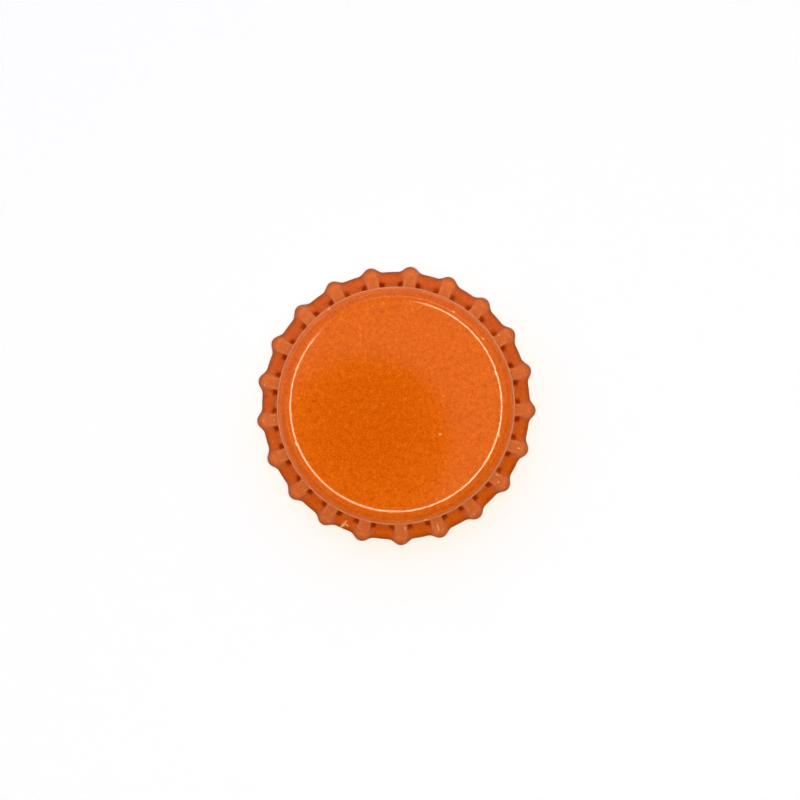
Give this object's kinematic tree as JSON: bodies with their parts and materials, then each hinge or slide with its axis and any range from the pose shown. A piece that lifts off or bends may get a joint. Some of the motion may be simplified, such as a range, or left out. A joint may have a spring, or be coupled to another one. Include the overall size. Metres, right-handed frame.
{
  "type": "crown cork bottle cap",
  "caption": "A bottle cap of the crown cork kind: a shallow domed cap pressed from orange enamelled tinplate, with a rounded corner, a flared toothed skirt and a moulded sealing liner inside.",
  "frame": {"origin": "centre of the plane that the skirt rests on", "axes": "+Z along the cap's axis, out of the domed panel; +X through the middle of one tooth"},
  "size_m": [0.0319, 0.032, 0.006],
  "materials": {
    "enamelled_tinplate": "gloss",
    "liner_compound": "satin"
  },
  "bodies": {
    "root": {"crown_shell": "enamelled_tinplate", "sealing_liner": "liner_compound"}
  },
  "joints": []
}
